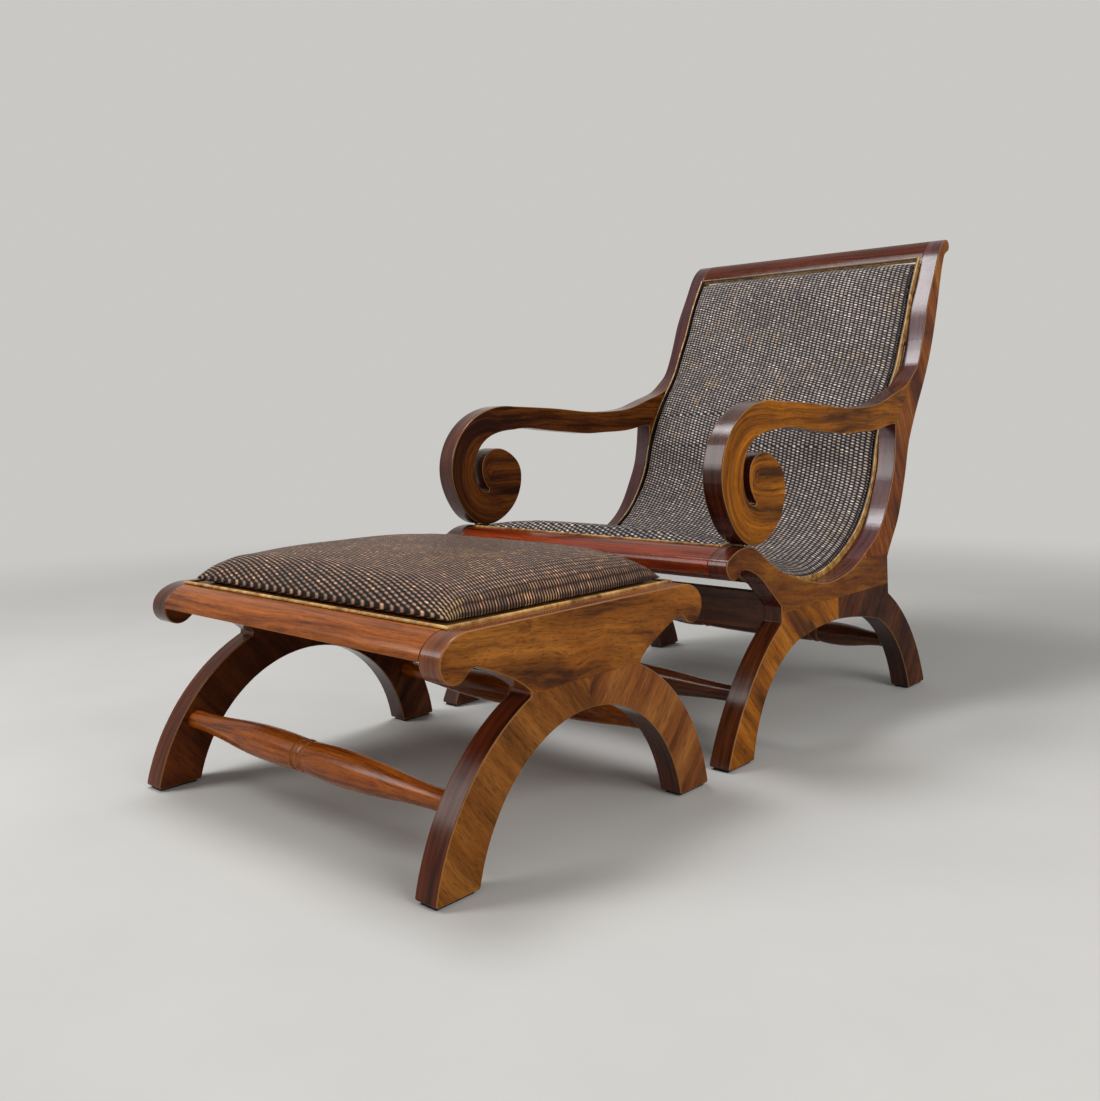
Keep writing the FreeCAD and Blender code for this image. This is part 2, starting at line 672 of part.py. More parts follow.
def build_chair():
    """Every piece of the chair, by name."""
    side = chair_side_pieces()
    pieces = {}

    # Dowels of the joints in each side
    leg_places = [chair_point((share, 1.0)) for share in leg_dowel_shares]
    stile_places = [chair_point(pair) for pair in stile_dowel_shares]
    joint_dowels = upright_dowels(leg_places + stile_places, dowel_diameter, dowel_length)
    scroll_dowels = upright_dowels([chair_point(scroll_dowel_shares)], scroll_dowel_diameter, scroll_dowel_length)
    scarf = [chair_point(pair) for pair in scarf_shares]
    along = scarf[1] - scarf[0]
    centre = scarf[0] + along * arm_dowel_share
    across = Vector(0, along.z, -along.y).normalize() * (arm_dowel_length / 2)
    arm_dowels = []
    for share in arm_dowel_across_shares:
        place = Vector(inner_face + board * share, centre.y, centre.z)
        arm_dowels.append((arm_dowel_diameter, place - across, place + across))

    # Cross rails, bearers and stretchers, and the dowels that hold them
    rear_start, top_end = front_rail_back_shares
    front_moves = [rail_scroll_shares[0][1:], rail_scroll_shares[1], rail_scroll_shares[2],
                   seat_curve_shares[0:4] + [top_end]]
    front_rail = rail(outline(chair_point, rear_start, front_moves))
    crest_rail = rail(outline(chair_point, crest_front_shares, [arm_top_shares[-3:]] + crest_roll_shares))
    for solid in (front_rail, crest_rail):
        solid.translate(Vector(-inner_face, 0, 0))
    bearers = {}
    for name, share, floor in (("front", front_bearer_share, front_bearer_floor),
                               ("rear", rear_bearer_share, rear_bearer_floor)):
        low = Vector(-inner_face, chair_front + share * chair_depth, floor)
        bearers[name] = box(low, Vector(inner_face, low.y + bearer_thickness, low.z + bearer_height))
    rail_places = [chair_point(pair) for pair in front_rail_dowel_shares + crest_dowel_shares]
    for bearer in bearers.values():
        span = bearer.BoundBox
        for share in bearer_dowel_shares:
            rail_places.append(Vector(0, span.Center.y, span.ZMin + share * span.ZLength))
    rail_dowels = cross_dowels(rail_places)
    front_place = Vector(0, chair_front + front_stretcher_share * chair_depth, stretcher_height)
    rear_place = Vector(0, chair_front + rear_stretcher_share * chair_depth, stretcher_height)
    pieces["front_stretcher"] = turned_rod(front_place, [0.0])
    pieces["rear_stretcher"] = turned_rod(rear_place, [-rear_ring_place, rear_ring_place])

    # The woven seat and back lie in a rebate of the front rail
    rebate = woven_strip(-gap_share, rebate_end_share, -overrun, slat_top, -half_width, half_width)
    front_rail = front_rail.cut(rebate)
    seat_low = -inner_face + panel_gap
    slats = []
    first, last = slat_ends_shares
    for number in range(slat_count):
        middle = first + (last - first) * number / (slat_count - 1)
        half = slat_width / woven_length / 2
        slats.append(woven_strip(middle - half, middle + half, slat_top, slat_top + slat_thickness,
                                 seat_low, -seat_low))
    batten = woven_strip(batten_ends_shares[0], batten_ends_shares[1], batten_top, batten_bottom,
                         inner_face - batten_width, inner_face)

    # Screws: battens to the sides, and slats to the battens
    batten_screws = []
    side_bores = []
    for share in batten_screw_shares:
        start = woven_point(share, (batten_top + batten_bottom) / 2, inner_face - batten_width)
        batten_screws.append(screw(start, Vector(1, 0, 0), screw_length))
        side_bores.append(screw_bore(start, Vector(1, 0, 0), screw_length))
    slat_screws = []
    slat_bores = []
    for number in range(slat_count):
        middle = first + (last - first) * number / (slat_count - 1)
        start = woven_point(middle, slat_top + panel_gap, inner_face - batten_width / 2)
        way = (woven_point(middle, batten_bottom, start.x) - start).normalize()
        slat_screws.append(screw(start, way, slat_screw_length))
        slat_bores.append(screw_bore(start, way, slat_screw_length))
    batten = cut_by(batten, side_bores + slat_bores + [crest_rail])
    for number, slat in enumerate(slats):
        slat = slat.cut(slat_bores[number]).cut(mirrored(slat_bores[number]))
        kind = "seat_slat" if number < seat_slat_count else "back_slat"
        order = number + 1 if number < seat_slat_count else number + 1 - seat_slat_count
        pieces[kind + "_" + str(order)] = slat
    pieces["side_batten_right"] = batten
    pieces["side_batten_left"] = mirrored(batten)
    pieces["batten_screws"] = Part.makeCompound(batten_screws + [mirrored(one) for one in batten_screws])
    pieces["slat_screws"] = Part.makeCompound(slat_screws + [mirrored(one) for one in slat_screws])

    # The five boards of each side, drilled for all of their dowels, tenons and screws
    bars = joint_dowels + scroll_dowels + arm_dowels + rail_dowels
    bars += [tenon_bore(front_place), tenon_bore(rear_place)]
    for name, solid in side.items():
        solid = cut_by(drilled(solid, bars), side_bores)
        pieces[name + "_right"] = solid
        pieces[name + "_left"] = mirrored(solid)
    all_rail_dowels = both_sides(rail_dowels)
    plug_place = Vector(plug_share * inner_face, chair_front - overrun, chair_point((0, plug_level_share)).z)
    plug_end = plug_place + Vector(0, overrun + plug_depth + rail_scroll_shares[1][1][0] * chair_depth, 0)
    plug = cylinder(plug_diameter, plug_place, plug_end)
    pieces["front_rail_plug"] = front_rail.common(plug)
    pieces["front_rail"] = drilled(front_rail.cut(plug), all_rail_dowels)
    pieces["crest_rail"] = drilled(crest_rail, all_rail_dowels)
    pieces["front_bearer"] = drilled(bearers["front"], all_rail_dowels)
    pieces["rear_bearer"] = drilled(bearers["rear"], all_rail_dowels)
    pieces["joint_dowels"] = bars_group(both_sides(joint_dowels) + all_rail_dowels)
    pieces["arm_dowels"] = bars_group(both_sides(arm_dowels))
    pieces["scroll_dowels"] = bars_group(both_sides(scroll_dowels))
    front_foot = chair_front + leg_gap
    rear_foot = chair_front + rear_foot_share * chair_depth
    pieces["foot_pads"] = foot_pads([(front_foot, front_foot + foot_length), (rear_foot - foot_length, rear_foot)])

    # Woven panel and its four beads
    pieces["woven_seat_back"] = woven_panel()
    bead_bottom = panel_edge - panel_gap
    bead = woven_strip(0.0, 1.0, -bead_rise, bead_bottom, bead_inner, bead_outer)
    pieces["side_bead_right"] = bead
    pieces["side_bead_left"] = mirrored(bead)
    across = bead_inner - panel_gap
    pieces["front_bead"] = woven_strip(0.0, bead_share, -bead_rise, bead_bottom, -across, across)
    pieces["crest_bead"] = woven_strip(1 - bead_share, 1.0, -bead_rise, bead_bottom, -across, across)
    return pieces


def build_stool():
    """Every piece of the footstool, by name."""
    pieces = {}
    whole = eased_board(stool_side_face(), board)
    whole.translate(Vector(inner_face, 0, 0))
    leg_seam = saw_face(*[stool_point(pair) for pair in stool_leg_seam_shares])
    leg_joint = saw_face(*[stool_point(pair) for pair in stool_leg_joint_shares])
    middle = inner_face + board / 2
    sawn = split(whole, [leg_seam])
    legs = split(piece_with(sawn, stool_point(stool_leg_inside_shares, middle)), [leg_joint])
    front_inside = (-stool_leg_inside_shares[0], stool_leg_inside_shares[1])
    side = {
        "stool_side_rail": piece_with(sawn, stool_point(stool_side_inside_shares, middle)),
        "stool_front_leg": piece_with(legs, stool_point(front_inside, middle)),
        "stool_rear_leg": piece_with(legs, stool_point(stool_leg_inside_shares, middle)),
    }

    # Rails, stretchers and the dowels of every joint
    flat, nose = stool_scroll_shares[0:2]
    moves = [flat, nose, [(stool_rail_back_share, nose[-1][1])]]
    rear_rail = rail(outline(stool_point, (stool_rail_back_share, flat[0][1]), moves))
    rear_rail.translate(Vector(-inner_face, 0, 0))
    joint_dowels = upright_dowels([stool_point((share, 1.0)) for share in stool_leg_dowel_shares],
                                  dowel_diameter, dowel_length)
    rail_places = []
    for sign in (1, -1):
        rail_places += [stool_point((sign * pair[0], pair[1])) for pair in stool_rail_dowel_shares]
    rail_dowels = cross_dowels(rail_places)
    stretcher_bores = []
    for name, sign in (("rear", 1), ("front", -1)):
        place = Vector(0, stool_centre + sign * stool_stretcher_share * stool_depth / 2, stretcher_height)
        pieces["stool_" + name + "_stretcher"] = turned_rod(place, [0.0])
        stretcher_bores.append(tenon_bore(place))

    # Deck on two ledgers, screwed to the sides
    back = stool_rail_back_share * stool_depth / 2
    deck_floor = stool_height - deck_thickness
    pieces["stool_deck"] = box(Vector(-inner_face, stool_centre - back, deck_floor),
                               Vector(inner_face, stool_centre + back, stool_height))
    ledger = box(Vector(inner_face - ledger_width, stool_centre - back, deck_floor - ledger_depth),
                 Vector(inner_face, stool_centre + back, deck_floor))
    screws = []
    bores = []
    for share in ledger_screw_shares:
        start = Vector(inner_face - ledger_width, stool_centre + share * back, deck_floor - ledger_depth / 2)
        screws.append(screw(start, Vector(1, 0, 0), screw_length))
        bores.append(screw_bore(start, Vector(1, 0, 0), screw_length))
    ledger = cut_by(ledger, bores)
    pieces["stool_ledger_right"] = ledger
    pieces["stool_ledger_left"] = mirrored(ledger)
    pieces["stool_screws"] = Part.makeCompound(screws + [mirrored(one) for one in screws])
    for name, solid in side.items():
        solid = cut_by(drilled(solid, joint_dowels + rail_dowels + stretcher_bores), bores)
        pieces[name + "_right"] = solid
        pieces[name + "_left"] = mirrored(solid)
    all_rail_dowels = both_sides(rail_dowels)
    pieces["stool_rear_rail"] = drilled(rear_rail, all_rail_dowels)
    front_rail = rear_rail.mirror(Vector(0, stool_centre, 0), Vector(0, 1, 0))
    pieces["stool_front_rail"] = drilled(front_rail, all_rail_dowels)
    pieces["stool_dowels"] = bars_group(both_sides(joint_dowels) + all_rail_dowels)
    foot = stool_depth / 2
    pieces["stool_foot_pads"] = foot_pads([(stool_centre - foot, stool_centre - foot + stool_foot_length),
                                           (stool_centre + foot - stool_foot_length, stool_centre + foot)])

    # Pad and its four mitred beads
    pieces["stool_pad"] = stool_pad()
    long_bead = stool_bead(stool_bead_half_width, stool_bead_half_depth)
    short_bead = stool_bead(stool_bead_half_depth, stool_bead_half_width)
    short_bead.rotate(Vector(0, 0, 0), Vector(0, 0, 1), 90)
    for name, bead, turn in (("front", long_bead, 0), ("rear", long_bead, 180),
                             ("right", short_bead, 0), ("left", short_bead, 180)):
        one = bead.copy()
        one.rotate(Vector(0, 0, 0), Vector(0, 0, 1), turn)
        one.translate(Vector(0, stool_centre, stool_height))
        pieces["stool_" + name + "_bead"] = one
    return pieces


if __name__ == "__main__":
    os.makedirs("parts", exist_ok=True)
    every_piece = build_chair()
    every_piece.update(build_stool())
    for name, shape in every_piece.items():
        shape.exportStep("parts/" + name + ".step")
    print(len(every_piece), "pieces")
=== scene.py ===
"""Looks of the planters chair and its footstool: woven cane, cane beads and polished hardwood."""

import math

import bmesh
import bpy
from mathutils import Matrix, Vector


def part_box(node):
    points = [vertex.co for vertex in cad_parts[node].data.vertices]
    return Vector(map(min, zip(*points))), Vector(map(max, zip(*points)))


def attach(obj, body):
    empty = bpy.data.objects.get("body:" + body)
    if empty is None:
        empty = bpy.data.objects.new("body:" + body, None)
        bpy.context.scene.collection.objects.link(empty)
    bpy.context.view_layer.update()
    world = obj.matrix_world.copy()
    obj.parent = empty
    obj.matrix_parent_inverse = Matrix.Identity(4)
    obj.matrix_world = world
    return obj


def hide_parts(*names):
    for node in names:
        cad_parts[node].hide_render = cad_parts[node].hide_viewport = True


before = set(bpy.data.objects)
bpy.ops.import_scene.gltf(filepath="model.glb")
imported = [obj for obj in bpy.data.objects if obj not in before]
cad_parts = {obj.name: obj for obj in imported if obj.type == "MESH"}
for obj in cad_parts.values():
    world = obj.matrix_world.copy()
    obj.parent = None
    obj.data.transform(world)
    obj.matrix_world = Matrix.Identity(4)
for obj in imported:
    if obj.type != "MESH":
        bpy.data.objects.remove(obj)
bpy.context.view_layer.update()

bl_info = {
    "name": "Planters chair looks",
    "version": (1, 0, 0),
    "blender": (4, 5, 0),
    "location": "3D View > Sidebar > Planters chair",
    "description": "Weaves the seat and the footstool pad and finishes the wood of a planters chair",
    "category": "Object",
}

MM = 0.001

# The line along which the cane lies on the slats, from the front bead to the crest: y and z in metres.
PANEL_LINE = (
    (-0.124, 0.361), (-0.096, 0.363), (-0.077, 0.360), (-0.044, 0.342), (0.000, 0.320), (0.072, 0.294),
    (0.128, 0.281), (0.190, 0.274), (0.247, 0.281), (0.303, 0.299), (0.360, 0.327), (0.417, 0.370),
    (0.446, 0.406), (0.474, 0.456), (0.490, 0.506), (0.523, 0.578), (0.563, 0.637), (0.607, 0.693),
    (0.635, 0.747), (0.660, 0.791), (0.690, 0.856), (0.722, 0.913), (0.746, 0.950),
)

# How far the cane stands above the slats in the middle of its width, and how square its shoulders are.
PANEL_CROWN = 25.0 * MM
PAD_CROWN = 60.0 * MM
CROWN_POWER = 4
SWELL_FRAMES = 20

# The middle of an arm's scroll, about which its grain bends, in metres (y and z), and the radius at
# which its pattern keeps its length.
SCROLL_CENTRE = (-0.062, 0.475)
SCROLL_RADIUS = 80.0 * MM

# Widths of the hardwood's patterns: the wander of its figure, the broad figure, growth lines, pores,
# the streaks of a sawn edge, and the smears of the polish.
DRIFT_WIDTH = 166.67 * MM
FIGURE_WIDTH = 29.412 * MM
LINE_WIDTH = 6.0606 * MM
PORE_WIDTH = 1.2195 * MM
STREAK_WIDTH = 7.1429 * MM
SMEAR_WIDTH = 28.571 * MM

# Widths of the woven cane's patterns: the wander of its strands and how far they wander, shade over
# the cloth, wear along one strand, and the patches in which it wears.
WANDER_WIDTH = 33.333 * MM
WANDER = 1.8 * MM
SHADE_WIDTH = 200.0 * MM
WEAR_WIDTH = 5.8824 * MM
PATCH_WIDTH = 111.11 * MM


# Colours and nodes

def linear(hex_colour):
    """An sRGB hex colour as the linear colour that a shader takes."""
    values = []
    for place in (0, 2, 4):
        value = int(hex_colour[place:place + 2], 16) / 255
        values.append(value / 12.92 if value <= 0.04045 else ((value + 0.055) / 1.055) ** 2.4)
    return (*values, 1.0)


def add(tree, kind, links=None, out=0, stops=(), **settings):
    """Adds one node and returns one of its outputs.

    settings are the node's properties, links feed its sockets with values or outputs, and stops are
    the places and colours of its ramp.
    """
    node = tree.nodes.new("ShaderNode" + kind)
    for name, value in settings.items():
        setattr(node, name, value)
    for name, value in (links or {}).items():
        if isinstance(value, bpy.types.NodeSocket):
            tree.links.new(value, node.inputs[name])
        else:
            node.inputs[name].default_value = value
    for number, (place, colour) in enumerate(stops):
        elements = node.color_ramp.elements
        element = elements[number] if number < len(elements) else elements.new(place)
        element.position = place
        element.color = colour
    return node.outputs[out] if len(node.outputs) else None


def new_material(name):
    """An empty node material and its tree."""
    material = bpy.data.materials.new(name)
    material.use_nodes = True
    material.node_tree.nodes.clear()
    return material, material.node_tree


def give(node, material):
    """Puts a material on every slot of a CAD node."""
    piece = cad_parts[node]
    if not piece.data.materials:
        piece.data.materials.append(material)
    for index in range(len(piece.material_slots)):
        piece.material_slots[index].link = "OBJECT"
        piece.material_slots[index].material = material


# Hardwood

def board_place(tree, turn, centre):
    """Where a point lies in its board, turned in the plane of the chair's side."""
    place = add(tree, "TexCoord", out="Object")
    if centre is None:
        return add(tree, "Mapping", {"Vector": place, "Rotation": (turn, 0.0, 0.0)})

    # Round the scroll's centre the grain bends with the arm, and behind it the grain runs straight.
    parts = add(tree, "SeparateXYZ", {0: place}).node.outputs
    back = add(tree, "Math", {0: parts[1], 1: centre[0]}, operation="SUBTRACT")
    rise = add(tree, "Math", {0: parts[2], 1: centre[1]}, operation="SUBTRACT")
    ahead = add(tree, "Math", {0: back, 1: 0.0}, operation="MINIMUM")
    behind = add(tree, "Math", {0: back, 1: 0.0}, operation="MAXIMUM")
    spoke = add(tree, "CombineXYZ", {0: ahead, 1: rise})
    across = add(tree, "VectorMath", {0: spoke}, "Value", operation="LENGTH")
    reverse = add(tree, "Math", {0: ahead, 1: -1.0}, operation="MULTIPLY")
    angle = add(tree, "Math", {0: rise, 1: reverse}, operation="ARCTAN2")
    round_way = add(tree, "Math", {0: angle, 1: SCROLL_RADIUS}, operation="MULTIPLY")
    side = add(tree, "Math", {0: rise}, operation="SIGN")
    along = add(tree, "Math", {0: behind, 1: side, 2: round_way}, operation="MULTIPLY_ADD")
    return add(tree, "CombineXYZ", {0: along, 1: across, 2: parts[0]})


def hardwood(name, colours, band, grain="Y", turn=0.0, seed=0.0, swirl=0.015, streak=0.5, polish=0.2,
             edge_coat=0.5, centre=None):
    """Planed tropical hardwood, stained and hand polished: fine dark lines, open pores and a deep gloss.

    colours are the dark, middle and light of the wide faces, and band the dark and light of the
    sawn edges, which take more stain and more polish. The grain runs along X, or along Y turned by
    an angle in the plane of the side, or round centre.
    """
    material, tree = new_material(name)
    place = board_place(tree, turn, centre)
    board = add(tree, "Mapping", {
        "Vector": place,
        "Rotation": (0.0, 0.0, -math.pi / 2 if grain == "Y" and centre is None else 0.0),
        "Location": (seed * 1.7, seed * 0.9, seed * 0.6),
    })

    # The figure wanders by a few centimetres over a hand's width.
    drift = add(tree, "TexNoise", {
        "Vector": board, "Scale": 1 / DRIFT_WIDTH, "Detail": 3.0, "Roughness": 0.5,
    }, "Color")
    centred = add(tree, "VectorMath", {0: drift, 1: (0.5, 0.5, 0.5)}, operation="SUBTRACT")
    moved = add(tree, "VectorMath", {0: centred, "Scale": swirl}, operation="SCALE")
    flowing = add(tree, "VectorMath", {0: board, 1: moved}, operation="ADD")

    # Broad figure is 14 times as long as wide, growth lines 38 times and pores 14 times.
    broad_place = add(tree, "Mapping", {"Vector": flowing, "Scale": (0.07, 1.0, 0.5)})
    broad = add(tree, "TexNoise", {
        "Vector": broad_place, "Scale": 1 / FIGURE_WIDTH, "Detail": 4.0, "Roughness": 0.6,
    })
    line_place = add(tree, "Mapping", {"Vector": flowing, "Scale": (0.026, 1.0, 0.7)})
    lines = add(tree, "TexNoise", {
        "Vector": line_place, "Scale": 1 / LINE_WIDTH, "Detail": 5.0, "Roughness": 0.65,
    })
    pore_place = add(tree, "Mapping", {"Vector": flowing, "Scale": (0.07, 1.0, 1.0)})
    pores = add(tree, "TexNoise", {
        "Vector": pore_place, "Scale": 1 / PORE_WIDTH, "Detail": 1.0, "Roughness": 0.4,
    })

    dark, middle, light = (linear(value) for value in colours)
    figure = add(tree, "ValToRGB", {0: broad}, stops=[(0.36, dark), (0.5, middle), (0.66, light)])
    line_shade = add(tree, "ValToRGB", {0: lines}, stops=[
        (0.33, (0.10, 0.07, 0.05, 1.0)), (0.47, (0.8, 0.77, 0.72, 1.0)), (0.66, (1.4, 1.35, 1.25, 1.0)),
    ])
    pore_shade = add(tree, "ValToRGB", {0: pores}, stops=[
        (0.33, (0.42, 0.36, 0.32, 1.0)), (0.43, (1.0, 1.0, 1.0, 1.0)),
    ])
    figured = add(tree, "Mix", {0: streak, 6: figure, 7: line_shade}, 2,
                  data_type="RGBA", blend_type="MULTIPLY")
    face = add(tree, "Mix", {0: 0.7, 6: figured, 7: pore_shade}, 2,
               data_type="RGBA", blend_type="MULTIPLY")

    # Sawn edges carry more stain than the wide faces. On a side board their streaks follow the edge
    # round its curves, and the rounded corner between face and edge is painted paler: partly wear of
    # the polish and partly a painted highlight.
    streaks, pitted = lines, 0.5
    if grain == "Y":
        edge_place = add(tree, "Mapping", {
            "Vector": add(tree, "TexCoord", out="Object"),
            "Location": (seed, seed * 0.3, 0.0),
            "Scale": (1.0, 0.06, 0.06),
        })
        streaks = add(tree, "TexNoise", {
            "Vector": edge_place, "Scale": 1 / STREAK_WIDTH, "Detail": 4.0, "Roughness": 0.55,
        })
        pitted = 0.12
    band_figure = add(tree, "ValToRGB", {0: streaks}, stops=[
        (0.3, linear(band[0])), (0.68, linear(band[1])),
    ])
    edge = add(tree, "Mix", {0: pitted, 6: band_figure, 7: pore_shade}, 2,
               data_type="RGBA", blend_type="MULTIPLY")
    normal = add(tree, "TexCoord", out="Normal")
    side = add(tree, "SeparateXYZ", {0: normal})
    flatness = add(tree, "Math", {0: side}, operation="ABSOLUTE")
    faceness = add(tree, "MapRange", {"Value": flatness, "From Min": 0.55, "From Max": 0.93})
    stained = add(tree, "Mix", {0: faceness, 6: edge, 7: face}, 2, data_type="RGBA")
    rising = add(tree, "MapRange", {"Value": flatness, "From Min": 0.25, "From Max": 0.6})
    falling = add(tree, "MapRange", {
        "Value": flatness, "From Min": 0.8, "From Max": 0.97, "To Min": 0.4, "To Max": 0.0,
    })
    edge_wear_and_highlight = add(tree, "Math", {0: rising, 1: falling}, operation="MULTIPLY")
    # Painted highlight and wear along the rounded corner: it is mixed towards a pale tan.
    colour = add(tree, "Mix", {0: edge_wear_and_highlight, 6: stained, 7: linear("c08c4c")}, 2, data_type="RGBA")

    # Rubbed polish lies thicker on the edges, and is smeared by the hand.
    smear = add(tree, "TexNoise", {"Vector": place, "Scale": 1 / SMEAR_WIDTH, "Detail": 4.0})
    smeared = add(tree, "MapRange", {
        "Value": smear, "From Min": 0.3, "From Max": 0.7, "To Min": polish - 0.06, "To Max": polish + 0.12,
    })
    rough = add(tree, "Math", {0: faceness, 1: 0.25, 2: smeared}, operation="MULTIPLY_ADD")
    coat = add(tree, "MapRange", {"Value": faceness, "To Min": edge_coat, "To Max": 0.02})
    face_height = add(tree, "Math", {0: pores, 1: 0.35, 2: lines}, operation="MULTIPLY_ADD")
    height = add(tree, "Mix", {0: faceness, 2: streaks, 3: face_height})
    bump = add(tree, "Bump", {"Height": height, "Strength": 0.35, "Distance": 0.5 * MM})
    add(tree, "OutputMaterial", {"Surface": add(tree, "BsdfPrincipled", {
        "Base Color": colour, "Roughness": rough, "Normal": bump, "IOR": 1.5,
        "Specular IOR Level": 0.08, "Coat Weight": coat, "Coat Roughness": 0.2,
    })})
    return material


# Woven cane

def woven_cane(name, warp, weft, relief, colours, gloss, fleck, slant, gap, tan_place=None):
    """Split rattan, woven tight, stained near black and waxed: shining strands over dark holes.

    The piece's UV map holds metres across and along the cloth. colours are the painted shade of the
    holes, the painted shade where a strand goes under, the strand, the painted highlight on its crest
    and the bare cane. fleck is how much brighter than the rest the palest stitches are, which are
    partly paler cane and partly painted glints; slant is how far a painted light on one side of each
    crossing joins the stitches into diagonal lines; gap is how deep the furrow beside each warp strand
    is; and tan_place is a corner that wear has laid bare.
    """
    material, tree = new_material(name)
    place = add(tree, "TexCoord", out="UV")

    # Strands wander by about half a millimetre, so that no row is ruled straight.
    drift = add(tree, "TexNoise", {
        "Vector": place, "Scale": 1 / WANDER_WIDTH, "Detail": 2.0, "Roughness": 0.5,
    }, "Color")
    centred = add(tree, "VectorMath", {0: drift, 1: (0.5, 0.5, 0.5)}, operation="SUBTRACT")
    moved = add(tree, "VectorMath", {0: centred, "Scale": WANDER}, operation="SCALE")
    cloth = add(tree, "VectorMath", {0: place, 1: moved}, operation="ADD")
    counted = add(tree, "VectorMath", {0: cloth, 1: (1 / warp, 1 / weft, 0.0)}, operation="MULTIPLY")

    # Each crossing rises where the weft passes over a warp strand and sinks where it goes under.
    turns = add(tree, "VectorMath", {0: counted, "Scale": math.pi}, operation="SCALE")
    sines = add(tree, "VectorMath", {0: turns}, operation="SINE")
    waves = add(tree, "SeparateXYZ", {0: sines}).node.outputs
    wave = add(tree, "Math", {0: waves[0], 1: waves[1]}, operation="MULTIPLY")

    # Crossings join along one diagonal: painted light on one side of each crossing, which the bump and
    # roughness take up as well. A furrow runs beside each warp strand.
    diagonal = add(tree, "VectorMath", {0: turns, 1: (1.0, 1.0, 0.0)}, "Value", operation="DOT_PRODUCT")
    lit_diagonal = add(tree, "Math", {0: diagonal}, operation="COSINE")
    slanted = add(tree, "Math", {0: lit_diagonal, 1: -slant, 2: wave}, operation="MULTIPLY_ADD")
    reach = (1 - gap) / 2
    crossing = add(tree, "Math", {0: slanted, 1: reach / (1 + slant), 2: reach}, operation="MULTIPLY_ADD")
    warp_top = add(tree, "Math", {0: waves[0]}, operation="ABSOLUTE")
    weave = add(tree, "Math", {0: warp_top, 1: gap, 2: crossing}, operation="MULTIPLY_ADD")
    cell = add(tree, "VectorMath", {0: counted}, operation="FLOOR")
    stitch = add(tree, "TexWhiteNoise", {"Vector": cell}, noise_dimensions="2D")

    # The ramp paints the relief's light and shade: painted shade in the holes, where a strand goes under
    # and in the furrows, the strand's own colour, and a painted highlight on the crests.
    hole_shade, under, strand, crest_highlight, tan = (linear(value) for value in colours)
    base = add(tree, "ValToRGB", {0: weave}, stops=[
        (0.24, hole_shade), (0.46, under), (0.62, strand), (0.9, crest_highlight),
    ])
    # The palest stitches, up to fleck times brighter, are partly paler cane and partly painted glints.
    palest = (fleck, fleck * 0.92, fleck * 0.82, 1.0)
    tint = add(tree, "ValToRGB", {0: stitch}, stops=[
        (0.0, (0.45, 0.43, 0.42, 1.0)), (0.84, (1.2, 1.14, 1.1, 1.0)), (1.0, palest),
    ])
    varied = add(tree, "Mix", {0: 0.85, 6: base, 7: tint}, 2, data_type="RGBA", blend_type="MULTIPLY")
    cloud = add(tree, "TexNoise", {
        "Vector": place, "Scale": 1 / SHADE_WIDTH, "Detail": 4.0, "Roughness": 0.6,
    })
    shade = add(tree, "ValToRGB", {0: cloud}, stops=[
        (0.32, (0.62, 0.58, 0.56, 1.0)), (0.64, (1.25, 1.2, 1.16, 1.0)),
    ])
    clouded = add(tree, "Mix", {0: 0.8, 6: varied, 7: shade}, 2, data_type="RGBA", blend_type="MULTIPLY")

    # Wear shows the bare cane in streaks along single strands.
    worn_place = add(tree, "Mapping", {"Vector": cloth, "Scale": (1.0, 0.14, 1.0)})
    worn = add(tree, "TexNoise", {
        "Vector": worn_place, "Scale": 1 / WEAR_WIDTH, "Detail": 3.0, "Roughness": 0.7,
    })
    patch = add(tree, "TexNoise", {"Vector": place, "Scale": 1 / PATCH_WIDTH, "Detail": 2.0})
    spread = add(tree, "Math", {0: patch, 1: 0.5, 2: worn}, operation="MULTIPLY_ADD")
    if tan_place:
        near = add(tree, "VectorMath", {0: place, 1: (*tan_place, 0.0)}, "Value", operation="DISTANCE")
        close = add(tree, "MapRange", {
            "Value": near, "From Min": 0.01, "From Max": 0.06, "To Min": 0.2, "To Max": 0.0,
        })
        spread = add(tree, "Math", {0: spread, 1: close}, operation="ADD")
    wear = add(tree, "MapRange", {"Value": spread, "From Min": 0.86, "From Max": 0.93})
    raised = add(tree, "MapRange", {"Value": weave, "From Min": 0.45, "From Max": 0.75})
    bare = add(tree, "Math", {0: wear, 1: raised}, operation="MULTIPLY")
    colour = add(tree, "Mix", {0: bare, 6: clouded, 7: tan}, 2, data_type="RGBA")

    rough = add(tree, "MapRange", {
        "Value": weave, "From Min": 0.3, "From Max": 0.9, "To Min": 0.9, "To Max": gloss,
    })
    bump = add(tree, "Bump", {"Height": weave, "Strength": 1.0, "Distance": relief})
    add(tree, "OutputMaterial", {"Surface": add(tree, "BsdfPrincipled", {
        "Base Color": colour, "Roughness": rough, "Normal": bump, "IOR": 1.5, "Specular IOR Level": 0.4,
    })})
    return material


